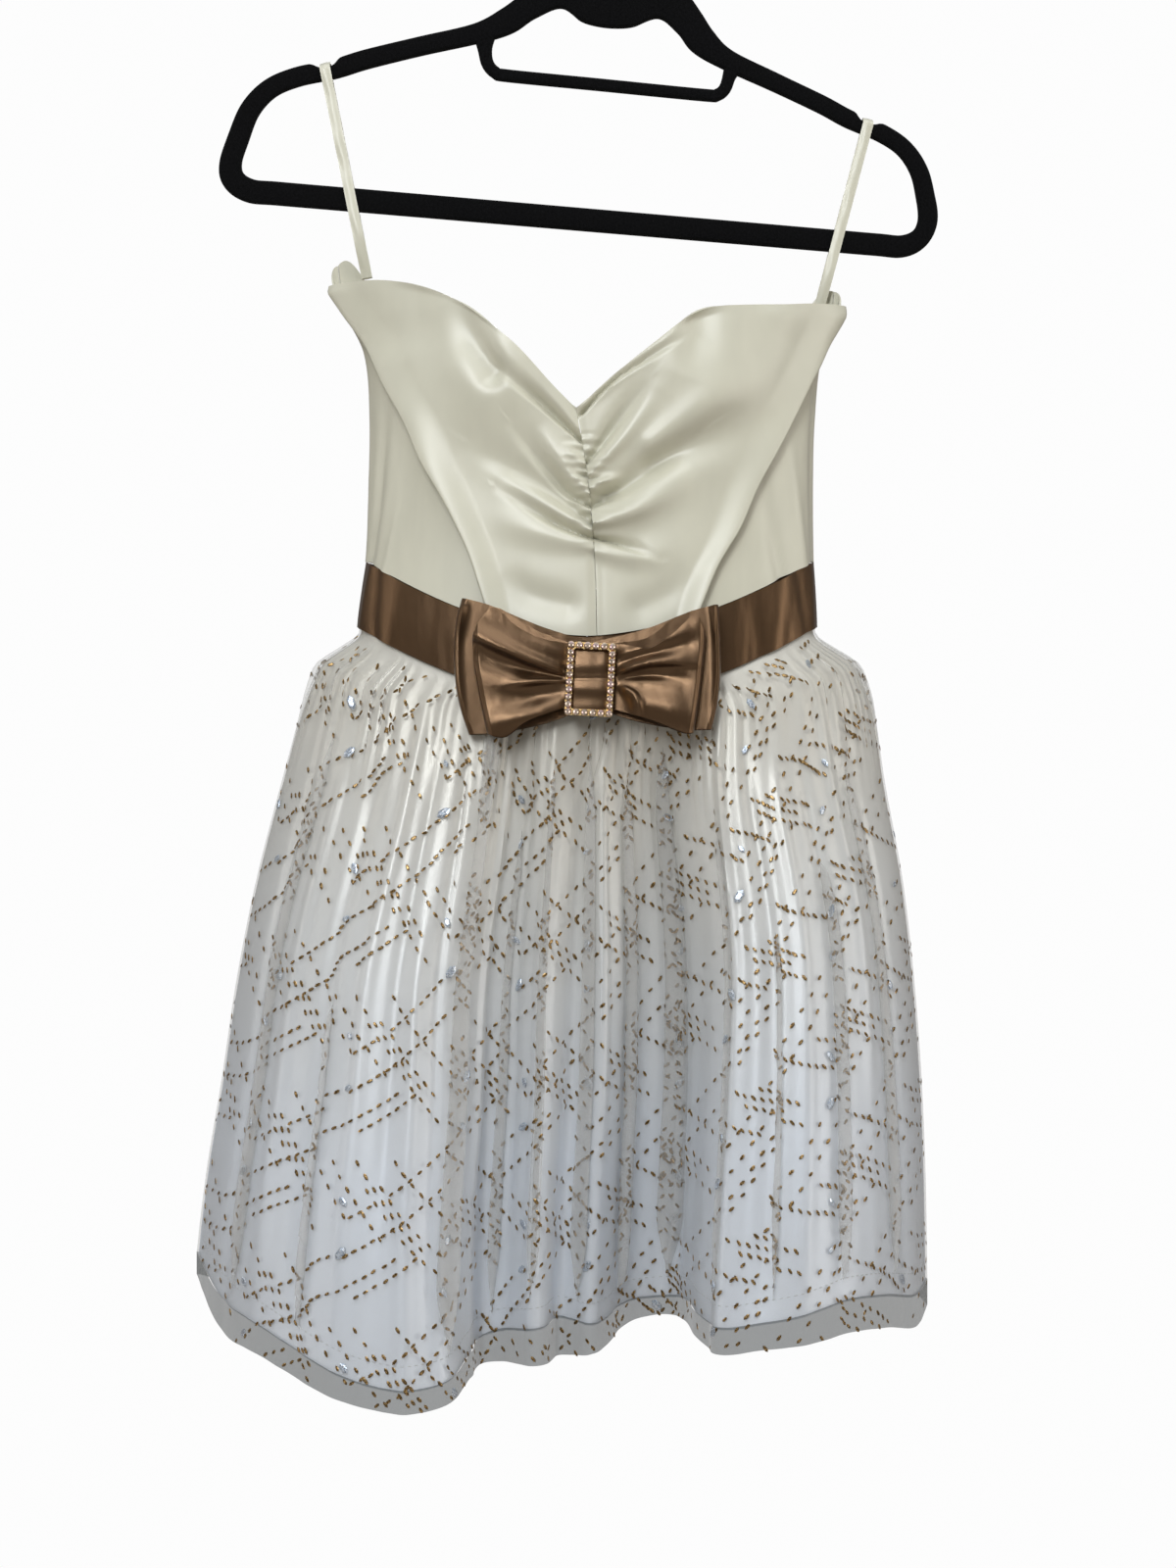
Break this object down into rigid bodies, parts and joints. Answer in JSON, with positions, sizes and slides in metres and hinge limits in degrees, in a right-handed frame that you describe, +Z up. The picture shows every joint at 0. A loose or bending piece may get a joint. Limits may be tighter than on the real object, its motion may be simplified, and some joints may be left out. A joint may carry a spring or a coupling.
{
  "type": "fit and flare dress on a hanger",
  "caption": "Strapless sweetheart dress with draped satin bodice, waist ribbon, flat bow with buckle and gathered net skirt over satin, hung by ribbon loops on a flat hanger.",
  "frame": {"origin": "top of the inside of the hanger's hook, where it rests on a rail", "axes": "+Z up, -Y towards the front of the dress, +X to the right of a viewer who faces the front"},
  "size_m": [0.4603, 0.2173, 0.9339],
  "materials": {
    "black_flock": "matte flocked plastic, short dense pile",
    "hook_steel": "bright plated wire",
    "ivory_satin": "heavy satin, soft directional sheen",
    "bronze_satin": "satin ribbon, strong sheen",
    "white_satin": "lining satin, cool sheen",
    "glitter_net": "fine sheer net with glued gold and silver glitter dashes",
    "gold_metal": "polished gold plate set with faceted stones",
    "zip_metal": "ivory lacquered zip metal"
  },
  "bodies": {
    "dress": {"hanger_frame": "black_flock", "hanger_hook": "hook_steel", "loop_left": "ivory_satin", "loop_right": "ivory_satin", "bodice_cup_left": "ivory_satin", "bodice_cup_right": "ivory_satin", "bodice_side_left": "ivory_satin", "bodice_side_right": "ivory_satin", "bodice_back_left": "ivory_satin", "bodice_back_right": "ivory_satin", "waistband": "bronze_satin", "bow_back_left": "bronze_satin", "bow_back_right": "bronze_satin", "bow_front_left": "bronze_satin", "bow_front_right": "bronze_satin", "bow_knot": "bronze_satin", "buckle_frame": "gold_metal", "skirt_lining_front": "white_satin", "skirt_lining_back": "white_satin", "skirt_net_front": "glitter_net", "skirt_net_back": "glitter_net", "zip_slider": "zip_metal"},
    "zip_pull": {"zip_pull": "zip_metal"}
  },
  "joints": [
    {"name": "zip_pull_hinge", "type": "hinge", "parent": "dress", "child": "zip_pull", "pos_m": [-0.0142, 0.0315, -0.364], "axis": [1, 0, 0], "range_deg": [0, 170]}
  ]
}
